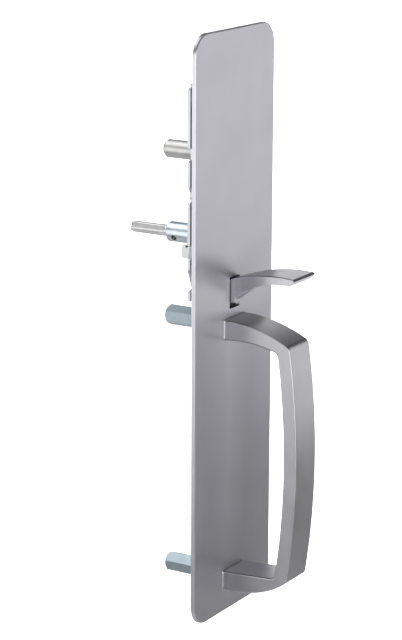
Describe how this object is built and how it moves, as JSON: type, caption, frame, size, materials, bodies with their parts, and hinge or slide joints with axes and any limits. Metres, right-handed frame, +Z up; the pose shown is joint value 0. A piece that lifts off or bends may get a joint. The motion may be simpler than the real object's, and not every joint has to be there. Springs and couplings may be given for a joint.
{
  "type": "exit device outside trim",
  "caption": "Outside trim for a door exit device: satin escutcheon plate with thumb lever and pull handle, posts through the door and a lift-driven tailpiece.",
  "frame": {"origin": "on the lift hub's axis, in the plane of the escutcheon's back face, which lies on the door", "axes": "+X right across the plate as seen from outside, +Y into the door, +Z up"},
  "size_m": [0.088, 0.1199, 0.35],
  "materials": {
    "satin_plate": "satin",
    "satin_cast": "satin cast",
    "zinc_plated": "clear zinc plated",
    "nickel_post": "turned",
    "sheet_steel": "zinc plated sheet",
    "black_steel": "black coated",
    "hardened_steel": "ground",
    "spring_steel": "oil tempered",
    "sintered_bronze": "sintered",
    "black_rubber": "moulded"
  },
  "bodies": {
    "base": {"escutcheon_plate": "satin_plate", "pull_handle": "satin_cast", "handle_studs": "zinc_plated", "upper_post_stud": "zinc_plated", "upper_post": "nickel_post", "middle_post": "zinc_plated", "bottom_post": "zinc_plated", "post_lock_washers": "spring_steel", "chassis_plate": "sheet_steel", "chassis_standoffs": "nickel_post", "chassis_washers": "spring_steel", "chassis_screws": "zinc_plated", "thumb_bracket": "black_steel", "bracket_studs": "zinc_plated", "bracket_nuts": "zinc_plated", "thumb_pivot_pin": "hardened_steel", "pivot_clips": "spring_steel", "lever_bumper": "black_rubber", "slide_guides": "hardened_steel", "hub_bushing": "sintered_bronze", "hub_return_spring": "spring_steel", "spring_anchor": "hardened_steel"},
    "thumb": {"thumb_lever": "satin_cast"},
    "slide": {"lift_slide": "sheet_steel", "drive_pin": "hardened_steel"},
    "hub": {"lift_barrel": "zinc_plated", "hub_arm": "sheet_steel", "hub_ring": "spring_steel", "tailpiece": "nickel_post", "tailpiece_pin": "hardened_steel"}
  },
  "joints": [
    {"name": "thumb_press", "type": "hinge", "parent": "base", "child": "thumb", "pos_m": [0, 0.0045, -0.029], "axis": [1, 0, 0], "range_deg": [0, 16.86], "stiffness_Nm_per_rad": 0.5, "springref_deg": -20.05},
    {"name": "lift", "type": "slide", "parent": "base", "child": "slide", "axis": [0, 0, 1], "range_m": [0, 0.00499], "deforming": ["hub_return_spring"]},
    {"name": "hub_turn", "type": "hinge", "parent": "base", "child": "hub", "pos_m": [0, 0, 0], "axis": [0, 1, 0], "range_deg": [0, 28]}
  ],
  "couplings": [
    {"joint": "lift", "follows": "thumb_press", "m_per_rad": 0.016939},
    {"joint": "hub_turn", "follows": "thumb_press", "ratio": 1.66}
  ]
}
